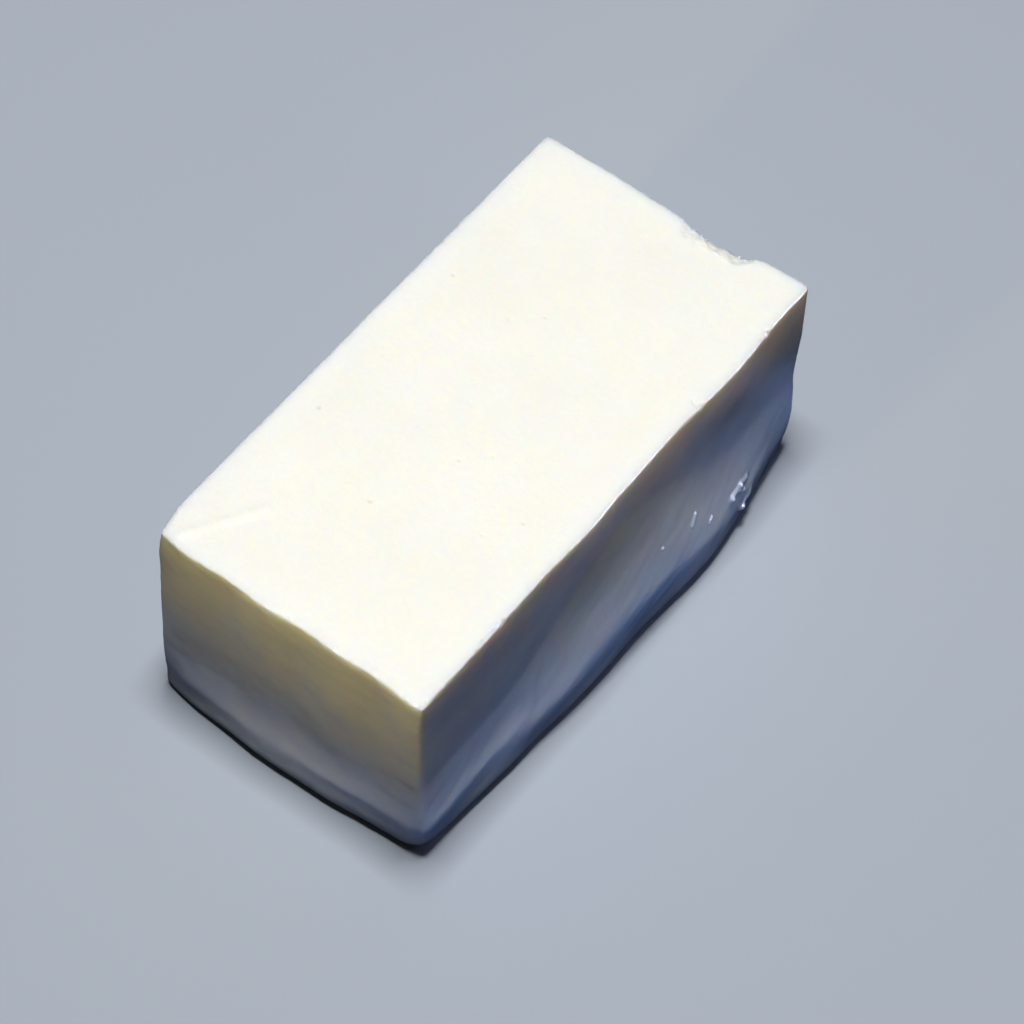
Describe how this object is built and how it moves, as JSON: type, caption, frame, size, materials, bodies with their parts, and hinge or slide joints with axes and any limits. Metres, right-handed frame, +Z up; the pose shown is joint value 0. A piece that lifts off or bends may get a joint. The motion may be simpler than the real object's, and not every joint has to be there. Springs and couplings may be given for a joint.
{
  "type": "tofu block",
  "caption": "Plain cut block of soft tofu with crisp knife-cut top edges and a soft, slightly sagging foot, resting on its flat base.",
  "frame": {"origin": "middle of the block's box, on the surface that its base rests on", "axes": "+Z up, X along the block's length with the chipped far end at +X, Y across it with the bellied side at -Y"},
  "size_m": [0.1182, 0.0664, 0.0491],
  "materials": {
    "curd": "wet, smooth, slightly translucent soft bean curd"
  },
  "bodies": {
    "root": {"tofu_block": "curd"}
  },
  "joints": []
}
